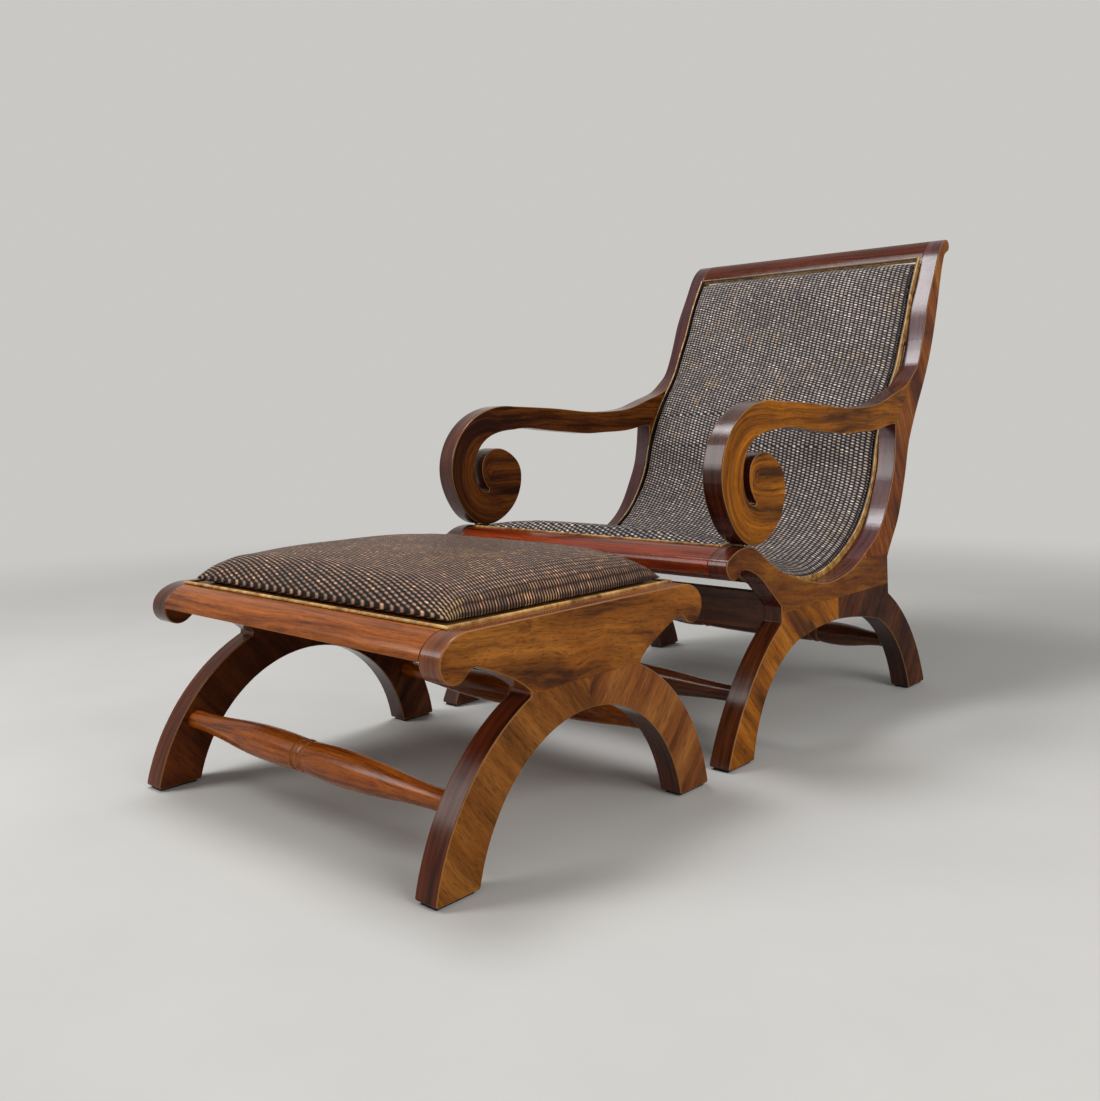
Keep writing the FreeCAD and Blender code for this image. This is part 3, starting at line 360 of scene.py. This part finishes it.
def cane_strip(name, colours, axis, middle, fade):
    """Flat cane strip, split from the skin of the palm and varnished: straw yellow with brown flecks.

    The strip is darker on its side towards the middle of the cane: fade gives the distances from
    the middle, along the axis, at which it is darkest and at its own colour.
    """
    material, tree = new_material(name)
    place = add(tree, "TexCoord", out="Object")
    fleck = add(tree, "TexNoise", {
        "Vector": place, "Scale": 1 / (16.667 * MM), "Detail": 6.0, "Roughness": 0.7,
    })
    dirt = add(tree, "TexNoise", {
        "Vector": place, "Scale": 1 / (55.556 * MM), "Detail": 4.0, "Roughness": 0.6,
    })
    dark, middle_tone, light = (linear(value) for value in colours)
    straw = add(tree, "ValToRGB", {0: fleck}, stops=[(0.36, dark), (0.5, middle_tone), (0.66, light)])
    soil = add(tree, "ValToRGB", {0: dirt}, stops=[
        (0.38, (0.3, 0.24, 0.2, 1.0)), (0.6, (1.0, 1.0, 1.0, 1.0)),
    ])
    soiled = add(tree, "Mix", {0: 0.6, 6: straw, 7: soil}, 2, data_type="RGBA", blend_type="MULTIPLY")
    parts = add(tree, "SeparateXYZ", {0: place}).node.outputs
    offset = add(tree, "Math", {0: parts["XYZ".index(axis)], 1: middle}, operation="SUBTRACT")
    away = add(tree, "Math", {0: offset}, operation="ABSOLUTE")
    # Darker across the strip towards the middle of the cane.
    outward = add(tree, "MapRange", {"Value": away, "From Min": fade[0], "From Max": fade[1]})
    colour = add(tree, "Mix", {0: outward, 6: linear("1c1310"), 7: soiled}, 2, data_type="RGBA")
    rough = add(tree, "MapRange", {"Value": fleck, "To Min": 0.35, "To Max": 0.6})
    bump = add(tree, "Bump", {"Height": fleck, "Strength": 0.4, "Distance": 0.5 * MM})
    add(tree, "OutputMaterial", {"Surface": add(tree, "BsdfPrincipled", {
        "Base Color": colour, "Roughness": rough, "Normal": bump, "IOR": 1.5, "Specular IOR Level": 0.3,
    })})
    return material


def screw_steel():
    """Zinc-plated steel, as drawn and plated: a grey, slightly blue shine with dull patches."""
    material, tree = new_material("zinc_plated_steel")
    place = add(tree, "TexCoord", out="Object")
    patch = add(tree, "TexNoise", {"Vector": place, "Scale": 1 / (1.4286 * MM), "Detail": 3.0})
    colour = add(tree, "ValToRGB", {0: patch}, stops=[(0.3, linear("8d9196")), (0.7, linear("b9bdc2"))])
    rough = add(tree, "MapRange", {"Value": patch, "To Min": 0.25, "To Max": 0.5})
    bump = add(tree, "Bump", {"Height": patch, "Strength": 0.2, "Distance": 0.1 * MM})
    add(tree, "OutputMaterial", {"Surface": add(tree, "BsdfPrincipled", {
        "Base Color": colour, "Metallic": 1.0, "Roughness": rough, "Normal": bump,
    })})
    return material


def black_rubber():
    """Rubber sheet, cut with a knife: a dull black that takes no clear reflection."""
    material, tree = new_material("black_rubber_sheet")
    place = add(tree, "TexCoord", out="Object")
    dust = add(tree, "TexNoise", {"Vector": place, "Scale": 1 / (4.5455 * MM), "Detail": 3.0})
    colour = add(tree, "ValToRGB", {0: dust}, stops=[(0.35, linear("121110")), (0.7, linear("24211f"))])
    bump = add(tree, "Bump", {"Height": dust, "Strength": 0.3, "Distance": 0.1 * MM})
    add(tree, "OutputMaterial", {"Surface": add(tree, "BsdfPrincipled", {
        "Base Color": colour, "Roughness": 0.8, "Normal": bump, "IOR": 1.52, "Specular IOR Level": 0.3,
    })})
    return material


# Pads

def line_lengths(points):
    """The distance along a line at each of its points."""
    lengths = [0.0]
    for first, second in zip(points, points[1:]):
        lengths.append(lengths[-1] + (Vector(second) - Vector(first)).length)
    return lengths


def place_on_line(points, lengths, y, z):
    """How far along a line its nearest place to a point lies."""
    here = Vector((y, z))
    nearest = (math.inf, 0.0)
    for first, second, start, end in zip(points, points[1:], lengths, lengths[1:]):
        leg = Vector(second) - Vector(first)
        share = max(0.0, min(1.0, (here - Vector(first)).dot(leg) / leg.length_squared))
        gap = (here - Vector(first) - leg * share).length
        if gap < nearest[0]:
            nearest = (gap, start + (end - start) * share)
    return nearest[1]


def crown_reach(half, crown, power):
    """Distances over a crowned section, from its middle outwards: (level place, place over the crown)."""
    steps = 60
    reach = [(0.0, 0.0)]
    for step in range(1, steps + 1):
        share = math.sin(math.pi / 2 * step / steps)
        rise = crown * math.sqrt(max(0.0, 1 - share ** power))
        last_rise = crown * math.sqrt(max(0.0, 1 - (reach[-1][0] / half) ** power))
        run = half * share - reach[-1][0]
        reach.append((half * share, reach[-1][1] + math.hypot(run, rise - last_rise)))
    return reach


def over_crown(reach, level):
    """The place over the crown that stands above a level place, on either side of the middle."""
    size = abs(level)
    for (first, low), (second, high) in zip(reach, reach[1:]):
        if size <= second:
            return math.copysign(low + (high - low) * (size - first) / (second - first), level)
    return math.copysign(reach[-1][1] + size - reach[-1][0], level)


def apply_modifiers(piece):
    """Makes a piece's modifiers part of its mesh."""
    depsgraph = bpy.context.evaluated_depsgraph_get()
    made = bpy.data.meshes.new_from_object(piece.evaluated_get(depsgraph))
    piece.modifiers.clear()
    old = piece.data
    piece.data = made
    bpy.data.meshes.remove(old)


def padded_copy(node, name, voxel, shrink):
    """A closed copy of a CAD pad, slightly slimmer, in even quads that cloth can swell."""
    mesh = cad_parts[node].data.copy()
    shape = bmesh.new()
    shape.from_mesh(mesh)
    bmesh.ops.remove_doubles(shape, verts=shape.verts, dist=0.02 * MM)
    shape.to_mesh(mesh)
    shape.free()
    pad = bpy.data.objects.new(name, mesh)
    bpy.context.scene.collection.objects.link(pad)
    even = pad.modifiers.new("even", "REMESH")
    even.mode = "VOXEL"
    even.voxel_size = voxel
    apply_modifiers(pad)
    shape = bmesh.new()
    shape.from_mesh(pad.data)
    for number in range(4):
        bmesh.ops.smooth_vert(
            shape, verts=shape.verts, factor=0.5, use_axis_x=True, use_axis_y=True, use_axis_z=True)
    shape.normal_update()
    for vert in shape.verts:
        vert.co -= vert.normal * shrink
    shape.to_mesh(pad.data)
    shape.free()
    pad.data.materials.clear()
    return pad


def swell(pad, pressure, most, quality):
    """Blows the cloth out against its weave, and holds each point to its allowance."""
    before = [vert.co.copy() for vert in pad.data.vertices]
    cloth = pad.modifiers.new("swell", "CLOTH")
    cloth.settings.use_pressure = True
    cloth.settings.uniform_pressure_force = pressure
    cloth.settings.effector_weights.gravity = 0.0
    cloth.settings.tension_stiffness = 40.0
    cloth.settings.compression_stiffness = 40.0
    cloth.settings.bending_stiffness = 5.0
    cloth.settings.quality = quality
    scene = bpy.context.scene
    for number in range(SWELL_FRAMES):
        scene.frame_set(number + 1)
    apply_modifiers(pad)
    scene.frame_set(1)
    for vert, old in zip(pad.data.vertices, before):
        step = vert.co - old
        if step.length > most:
            vert.co = old + step * (most / step.length)


def finish_pad(pad, across, along, material):
    """Smooths a pad once, maps real distances over its cloth and gives it its weave."""
    pad.modifiers.new("smooth", "SUBSURF").levels = 1
    apply_modifiers(pad)
    layer = pad.data.uv_layers.new(name="cloth")
    spots = [(across(vert.co), along(vert.co)) for vert in pad.data.vertices]
    for loop in pad.data.loops:
        layer.data[loop.index].uv = spots[loop.vertex_index]
    for polygon in pad.data.polygons:
        polygon.use_smooth = True
    pad.data.materials.append(material)


# Sizes and colours that a user would change

class CaneSettings(bpy.types.PropertyGroup):
    warp: bpy.props.FloatProperty(
        name="Warp spacing", description="Distance between the strands that run up the back",
        default=10.4 * MM, unit="LENGTH", subtype="DISTANCE", precision=4)
    weft: bpy.props.FloatProperty(
        name="Weft spacing", description="Distance between the rows across the chair",
        default=3.33 * MM, unit="LENGTH", subtype="DISTANCE", precision=4)
    stool_weft: bpy.props.FloatProperty(
        name="Footstool weft spacing", description="Distance between the rows across the footstool",
        default=2.85 * MM, unit="LENGTH", subtype="DISTANCE", precision=4)
    relief: bpy.props.FloatProperty(
        name="Relief", description="How far a strand stands above the holes beside it",
        default=1.6 * MM, unit="LENGTH", subtype="DISTANCE", precision=4)
    pressure: bpy.props.FloatProperty(
        name="Stuffing pressure", description="Cloth pressure that swells the stuffed pads", default=4.0)


class StudioSettings(bpy.types.PropertyGroup):
    place: bpy.props.FloatVectorProperty(
        name="Camera place", description="Where the camera stands",
        default=(1.3185, -1.6976, 0.588), unit="LENGTH", subtype="TRANSLATION")
    yaw: bpy.props.FloatProperty(
        name="Camera yaw", description="Turn of the view to the right of straight back",
        default=math.radians(-41.339), unit="ROTATION", subtype="ANGLE")
    pitch: bpy.props.FloatProperty(
        name="Camera pitch", description="Tilt of the view above level",
        default=math.radians(2.355), unit="ROTATION", subtype="ANGLE")
    roll: bpy.props.FloatProperty(
        name="Camera roll", description="Turn of the picture about the line of sight",
        default=math.radians(-0.710), unit="ROTATION", subtype="ANGLE")
    lens: bpy.props.FloatProperty(name="Lens", description="Focal length in millimetres", default=35.2)
    floor_colour: bpy.props.StringProperty(
        name="Floor colour", description="Floor and surround, as an sRGB hex value", default="c9c8c5")


def settings(name):
    """One of the add-on's setting groups."""
    return getattr(bpy.context.scene, name)


# Operators

class CHAIR_OT_side_boards(bpy.types.Operator):
    """Finish the curved side boards of the chair"""
    bl_idname = "planters_chair.side_boards"
    bl_label = "Chair side boards"

    def execute(self, context):
        # The boards of the left side are given darker and redder colours than those of the right: painted
        # shade for the far side, which the light hardly reaches. Each board has its three face colours and
        # its two edge colours.
        lit_and_shaded_colours = {
            "right": {
                "scroll_arm": (("432302", "824a04", "a46206"), ("120403", "4e1e0d")),
                "back_stile": (("4c220a", "804216", "a06420"), ("280d10", "5a282a")),
                "seat_rail": (("3c1a09", "6e3b0f", "885418"), ("2c100a", "622c1c")),
                "front_leg": (("542c08", "925410", "ac6c20"), ("2a1008", "66341a")),
                "rear_leg": (("240d07", "442210", "5e3216"), ("1c0906", "442016")),
            },
            # Painted shade: the far side's boards, darker and redder than the near ones.
            "left": {
                "scroll_arm": (("30150a", "5c3010", "784416"), ("260c08", "5a2c18")),
                "back_stile": (("3a1a0c", "643014", "804a1e"), ("240c0c", "4c2020")),
                "seat_rail": (("2c120a", "582c12", "744018"), ("220c08", "4c2014")),
                "front_leg": (("260f08", "4c2412", "633716"), ("200b07", "4c2412")),
                "rear_leg": (("280f08", "4c2412", "683a1a"), ("1c0905", "401c12")),
            },
        }
        ways = {
            "scroll_arm": {"centre": SCROLL_CENTRE, "swirl": 0.03, "streak": 0.75, "edge_coat": 0.6},
            "back_stile": {"turn": 1.15, "swirl": 0.03, "streak": 0.7, "edge_coat": 0.65},
            "seat_rail": {"turn": 0.1, "swirl": 0.03, "streak": 0.55},
            "front_leg": {"turn": 0.8, "swirl": 0.02, "streak": 0.55},
            "rear_leg": {"turn": -0.9, "swirl": 0.02, "streak": 0.55},
        }
        seed = 1.3
        for side, boards in lit_and_shaded_colours.items():
            for board, (colours, band) in boards.items():
                node = board + "_" + side
                give(node, hardwood("polished_hardwood_" + node, colours, band, seed=seed, **ways[board]))
                seed += 1.3
        return {"FINISHED"}


class CHAIR_OT_cross_boards(bpy.types.Operator):
    """Finish the rails, bearers and stretchers between the chair's sides"""
    bl_idname = "planters_chair.cross_boards"
    bl_label = "Chair rails and stretchers"

    def execute(self, context):
        give("front_rail", hardwood(
            "polished_hardwood_front_rail", ("300b04", "78250b", "a04014"), ("300b04", "903510"),
            grain="X", seed=7.1, streak=0.8, polish=0.18, edge_coat=0.36))
        give("front_rail_plug", hardwood(
            "polished_hardwood_plug", ("4a2410", "7d4a1e", "a06a2c"), ("3a1c10", "704020"),
            grain="X", seed=7.7))
        give("crest_rail", hardwood(
            "polished_hardwood_crest", ("260a04", "46170a", "60240e"), ("260a04", "5e2610"),
            grain="X", seed=8.3, edge_coat=0.1))
        inner = ("front_bearer", "rear_bearer", "front_stretcher", "rear_stretcher")
        for number, node in enumerate(inner):
            give(node, hardwood(
                "polished_hardwood_" + node, ("2c120a", "542814", "75401f"), ("2c120a", "6e3c20"),
                grain="X", seed=9.1 + number))
        return {"FINISHED"}


class CHAIR_OT_stool_boards(bpy.types.Operator):
    """Finish the wood of the footstool"""
    bl_idname = "planters_chair.stool_boards"
    bl_label = "Footstool boards"

    def execute(self, context):
        # The boards of the left side are given darker colours than those of the right: painted shade for
        # the far side, under the pad, which the light hardly reaches.
        lit_and_shaded_colours = {
            "right": {
                "stool_side_rail": (("47260f", "7c4716", "985f24"), ("4a1f0c", "8a4a20")),
                "stool_front_leg": (("42220d", "724214", "8c5824"), ("260c06", "602a14")),
                "stool_rear_leg": (("44220f", "7a461e", "96602e"), ("280f08", "5c2c16")),
            },
            # Painted shade: the far side's boards, darker than the near ones.
            "left": {
                "stool_side_rail": (("30140a", "5e3012", "7a461a"), ("260e07", "5a2a12")),
                "stool_front_leg": (("2e1209", "5c2c14", "764018"), ("2e1209", "6c3418")),
                "stool_rear_leg": (("2a1008", "522814", "6c3c1a"), ("200b07", "4c2212")),
            },
        }
        ways = {
            "stool_side_rail": {"turn": 0.1, "swirl": 0.04, "streak": 0.6},
            "stool_front_leg": {"turn": 0.8, "swirl": 0.02, "edge_coat": 0.2},
            "stool_rear_leg": {"turn": -0.9, "swirl": 0.02},
        }
        seed = 21.4
        for side, boards in lit_and_shaded_colours.items():
            for board, (colours, band) in boards.items():
                node = board + "_" + side
                give(node, hardwood("polished_hardwood_" + node, colours, band, seed=seed, **ways[board]))
                seed += 1.3
        for number, node in enumerate(("stool_front_rail", "stool_rear_rail")):
            give(node, hardwood(
                "polished_hardwood_" + node, ("542105", "984a12", "b4661c"), ("4c1c04", "ac5c17"),
                grain="X", seed=15.5 + number, swirl=0.02, streak=0.6, edge_coat=0.32))
        for number, node in enumerate(("stool_front_stretcher", "stool_rear_stretcher")):
            give(node, hardwood(
                "turned_hardwood_" + node, ("481a07", "8a440d", "ac5a18"), ("481a07", "ac5a18"),
                grain="X", seed=17.1 + number, edge_coat=0.28))
        return {"FINISHED"}


class CHAIR_OT_carcass(bpy.types.Operator):
    """Finish the slats, battens, ledgers, deck, dowels, screws and foot pads"""
    bl_idname = "planters_chair.carcass"
    bl_label = "Slats, deck, dowels, screws and foot pads"

    def execute(self, context):
        # Plain wood from the saw, hidden under the cane, has no polish and little figure.
        plain = ("5a3a20", "8a6238", "a88050")
        sawn = {"X": sorted(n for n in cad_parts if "slat_" in n and not n.endswith("screws")),
                "Y": ["side_batten_left", "side_batten_right", "stool_ledger_left", "stool_ledger_right",
                      "stool_deck"]}
        seed = 30.0
        for grain, nodes in sawn.items():
            for node in nodes:
                give(node, hardwood(
                    "sawn_carcass_wood_" + node, plain, ("5a3a20", "a88050"),
                    grain=grain, seed=seed, polish=0.55))
                seed += 1.0
        dowel = hardwood(
            "turned_dowel_wood", ("6a4a28", "a07a48", "bf9a66"), ("6a4a28", "bf9a66"),
            grain="X", polish=0.5)
        for node in ("arm_dowels", "joint_dowels", "scroll_dowels", "stool_dowels"):
            give(node, dowel)
        steel = screw_steel()
        for node in ("batten_screws", "slat_screws", "stool_screws"):
            give(node, steel)
        rubber = black_rubber()
        for node in ("foot_pads", "stool_foot_pads"):
            give(node, rubber)
        return {"FINISHED"}


class CHAIR_OT_beads(bpy.types.Operator):
    """Finish the cane beads around the woven seat and the footstool pad"""
    bl_idname = "planters_chair.beads"
    bl_label = "Cane beads"

    def execute(self, context):
        straw = ("7a5228", "c0904e", "dcb878")
        for node in sorted(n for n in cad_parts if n.endswith("_bead") or "side_bead" in n):
            low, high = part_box(node)
            axis = 0 if high.x - low.x < high.y - low.y else 1
            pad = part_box("stool_pad" if node.startswith("stool") else "woven_seat_back")
            middle = (pad[0][axis] + pad[1][axis]) / 2
            inner = min(abs(low[axis] - middle), abs(high[axis] - middle))
            fade = (inner + 1.8 * MM, inner + 2.6 * MM)
            give(node, cane_strip("varnished_cane_" + node, straw, "XYZ"[axis], middle, fade))
        return {"FINISHED"}


class CHAIR_OT_weave_seat(bpy.types.Operator):
    """Weave the long cane panel of the seat and back"""
    bl_idname = "planters_chair.weave_seat"
    bl_label = "Woven seat and back"

    def execute(self, context):
        cane = settings("chair_cane")
        panel = padded_copy("woven_seat_back", "woven_cane_panel", 9.0 * MM, 0.5 * MM)
        swell(panel, cane.pressure, 2.0 * MM, 2)
        lengths = line_lengths(PANEL_LINE)
        reach = crown_reach(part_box("woven_seat_back")[1].x, PANEL_CROWN, CROWN_POWER)
        finish_pad(
            panel,
            lambda co: over_crown(reach, co.x),
            lambda co: place_on_line(PANEL_LINE, lengths, co.y, co.z),
            # Colours: painted shade in the holes, painted shade under the strands, strand, painted
            # highlight, bare cane.
            woven_cane("woven_rattan_seat", cane.warp, cane.weft, cane.relief,
                       ("050405", "120e10", "5c5453", "b2a9a6", "c09c70"), 0.4, 2.1, 0.5, 0.35))
        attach(panel, "chair")
        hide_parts("woven_seat_back")
        return {"FINISHED"}


class CHAIR_OT_weave_stool(bpy.types.Operator):
    """Weave the crowned cane pad of the footstool"""
    bl_idname = "planters_chair.weave_stool"
    bl_label = "Woven footstool pad"

    def execute(self, context):
        cane = settings("chair_cane")
        pad = padded_copy("stool_pad", "woven_stool_pad", 6.0 * MM, 2.0 * MM)
        swell(pad, cane.pressure, 3.0 * MM, 3)
        low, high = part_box("stool_pad")
        middle = (low + high) / 2
        over_x = crown_reach((high.x - low.x) / 2, PAD_CROWN, CROWN_POWER)
        over_y = crown_reach((high.y - low.y) / 2, PAD_CROWN, CROWN_POWER)
        finish_pad(
            pad,
            lambda co: over_crown(over_x, co.x - middle.x),
            lambda co: over_crown(over_y, co.y - middle.y),
            # Colours: painted shade in the holes, painted shade under the strands, strand, painted
            # highlight, bare cane.
            woven_cane("woven_rattan_pad", cane.warp, cane.stool_weft, cane.relief * 1.4,
                       ("040202", "160b07", "523320", "ae866a", "b8925c"), 0.26, 2.5, 0.7, 0.15,
                       tan_place=(0.31, -0.24)))
        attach(pad, "footstool")
        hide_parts("stool_pad")
        return {"FINISHED"}


class CHAIR_OT_studio(bpy.types.Operator):
    """Set the pale floor, the soft lights and the camera"""
    bl_idname = "planters_chair.studio"
    bl_label = "Studio"

    def execute(self, context):
        studio = settings("chair_studio")
        make_floor(studio)
        make_world(studio)
        # A tall window lamp in front to the left, a weaker one to the right, and one overhead.
        soft_light("window", (-1.7, -2.7, 2.4), (0.0, 0.0, 0.4), (1.2, 2.4), 62.0, (1.0, 0.99, 0.97))
        soft_light("fill", (3.0, -0.6, 1.7), (0.0, 0.0, 0.4), (2.0, 1.6), 52.0, (1.0, 0.98, 0.95))
        soft_light("overhead", (-0.75, -0.4, 3.0), (0.0, 0.1, 0.3), (1.1, 0.9), 45.0, (0.97, 0.98, 1.0))
        make_camera(studio)
        return {"FINISHED"}


def make_floor(studio):
    """A wide pale floor that turns into the surround away from the chair."""
    shape = bmesh.new()
    bmesh.ops.create_circle(shape, cap_ends=True, segments=96, radius=30.0)
    mesh = bpy.data.meshes.new("floor")
    shape.to_mesh(mesh)
    shape.free()
    floor = bpy.data.objects.new("floor", mesh)
    bpy.context.scene.collection.objects.link(floor)
    material, tree = new_material("pale_cement_floor")
    place = add(tree, "TexCoord", out="Object")
    cloud = add(tree, "TexNoise", {
        "Vector": place, "Scale": 1 / (454.55 * MM), "Detail": 5.0, "Roughness": 0.6,
    })
    grit = add(tree, "TexNoise", {"Vector": place, "Scale": 1 / (3.8462 * MM), "Detail": 2.0})
    pale = linear(studio.floor_colour)
    shade = add(tree, "ValToRGB", {0: cloud}, stops=[
        (0.3, (0.94, 0.94, 0.94, 1.0)), (0.7, (1.0, 1.0, 1.0, 1.0)),
    ])
    colour = add(tree, "Mix", {0: 1.0, 6: pale, 7: shade}, 2, data_type="RGBA", blend_type="MULTIPLY")
    bump = add(tree, "Bump", {"Height": grit, "Strength": 0.1, "Distance": 0.5 * MM})
    near = add(tree, "BsdfPrincipled", {
        "Base Color": colour, "Roughness": 0.75, "Normal": bump, "Specular IOR Level": 0.2,
    })
    far = add(tree, "Emission", {"Color": pale, "Strength": 1.0})
    distance = add(tree, "VectorMath", {0: place}, "Value", operation="LENGTH")
    away = add(tree, "MapRange", {
        "Value": distance, "From Min": 1.4, "From Max": 3.6,
    }, interpolation_type="SMOOTHSTEP")
    rays = add(tree, "LightPath").node.outputs
    seen = add(tree, "Math", {0: rays["Is Camera Ray"], 1: rays["Is Glossy Ray"]}, operation="MAXIMUM")
    share = add(tree, "Math", {0: away, 1: seen}, operation="MULTIPLY")
    add(tree, "OutputMaterial", {"Surface": add(tree, "MixShader", {0: share, 1: near, 2: far})})
    mesh.materials.append(material)


def make_world(studio):
    """An even surround: pale to the camera, and a soft fill on the object."""
    world = bpy.data.worlds.new("surround")
    bpy.context.scene.world = world
    world.use_nodes = True
    tree = world.node_tree
    tree.nodes.clear()
    rays = add(tree, "LightPath").node.outputs
    clear = add(tree, "Math", {0: rays["Is Camera Ray"], 1: rays["Is Transmission Ray"]},
                operation="MAXIMUM")
    seen = add(tree, "Math", {0: clear, 1: rays["Is Glossy Ray"]}, operation="MAXIMUM")
    fill = add(tree, "Background", {"Color": (1.0, 1.0, 1.0, 1.0), "Strength": 0.3})
    shown = add(tree, "Background", {"Color": linear(studio.floor_colour), "Strength": 1.0})
    add(tree, "OutputWorld", {"Surface": add(tree, "MixShader", {0: seen, 1: fill, 2: shown})})


def soft_light(name, place, target, size, power, colour):
    """A rectangular studio light that faces a point."""
    lamp = bpy.data.lights.new(name, "AREA")
    lamp.shape = "RECTANGLE"
    lamp.size, lamp.size_y = size
    lamp.energy = power
    lamp.color = colour
    light = bpy.data.objects.new(name, lamp)
    bpy.context.scene.collection.objects.link(light)
    light.location = place
    light.rotation_euler = (Vector(target) - Vector(place)).to_track_quat("-Z", "Y").to_euler()


def make_camera(studio):
    """The camera where the photographer stood."""
    yaw, pitch, roll = studio.yaw, studio.pitch, studio.roll
    forward = Vector((math.sin(yaw) * math.cos(pitch), math.cos(yaw) * math.cos(pitch), math.sin(pitch)))
    right = Vector((math.cos(yaw), -math.sin(yaw), 0.0))
    up = right.cross(forward)
    right_rolled = right * math.cos(roll) + up * math.sin(roll)
    up_rolled = up * math.cos(roll) - right * math.sin(roll)
    lens = bpy.data.cameras.new("camera")
    lens.sensor_fit = "HORIZONTAL"
    lens.sensor_width = 36.0
    lens.lens = studio.lens
    lens.shift_x = -0.0065
    lens.shift_y = -0.1617
    lens.clip_end = 100.0
    camera = bpy.data.objects.new("camera", lens)
    bpy.context.scene.collection.objects.link(camera)
    turn = Matrix((right_rolled, up_rolled, -forward)).transposed()
    camera.matrix_world = Matrix.Translation(Vector(studio.place)) @ turn.to_4x4()
    bpy.context.scene.camera = camera


# Panel and registration

STEPS = (
    CHAIR_OT_side_boards, CHAIR_OT_cross_boards, CHAIR_OT_stool_boards, CHAIR_OT_carcass,
    CHAIR_OT_beads, CHAIR_OT_weave_seat, CHAIR_OT_weave_stool, CHAIR_OT_studio,
)


class VIEW3D_PT_planters_chair(bpy.types.Panel):
    bl_label = "Planters chair"
    bl_idname = "VIEW3D_PT_planters_chair"
    bl_space_type = "VIEW_3D"
    bl_region_type = "UI"
    bl_category = "Planters chair"

    def draw(self, context):
        layout = self.layout
        for group in ("chair_cane", "chair_studio"):
            for name in settings(group).__annotations__:
                layout.prop(settings(group), name)
        for step in STEPS:
            layout.operator(step.bl_idname)


CLASSES = (CaneSettings, StudioSettings, *STEPS, VIEW3D_PT_planters_chair)


def register():
    for item in CLASSES:
        bpy.utils.register_class(item)
    bpy.types.Scene.chair_cane = bpy.props.PointerProperty(type=CaneSettings)
    bpy.types.Scene.chair_studio = bpy.props.PointerProperty(type=StudioSettings)


def unregister():
    del bpy.types.Scene.chair_studio
    del bpy.types.Scene.chair_cane
    for item in reversed(CLASSES):
        bpy.utils.unregister_class(item)


def main():
    register()
    for step in STEPS:
        group, name = step.bl_idname.split(".")
        getattr(getattr(bpy.ops, group), name)()
    bpy.context.scene.view_settings.view_transform = "Standard"


if __name__ == "__main__":
    main()
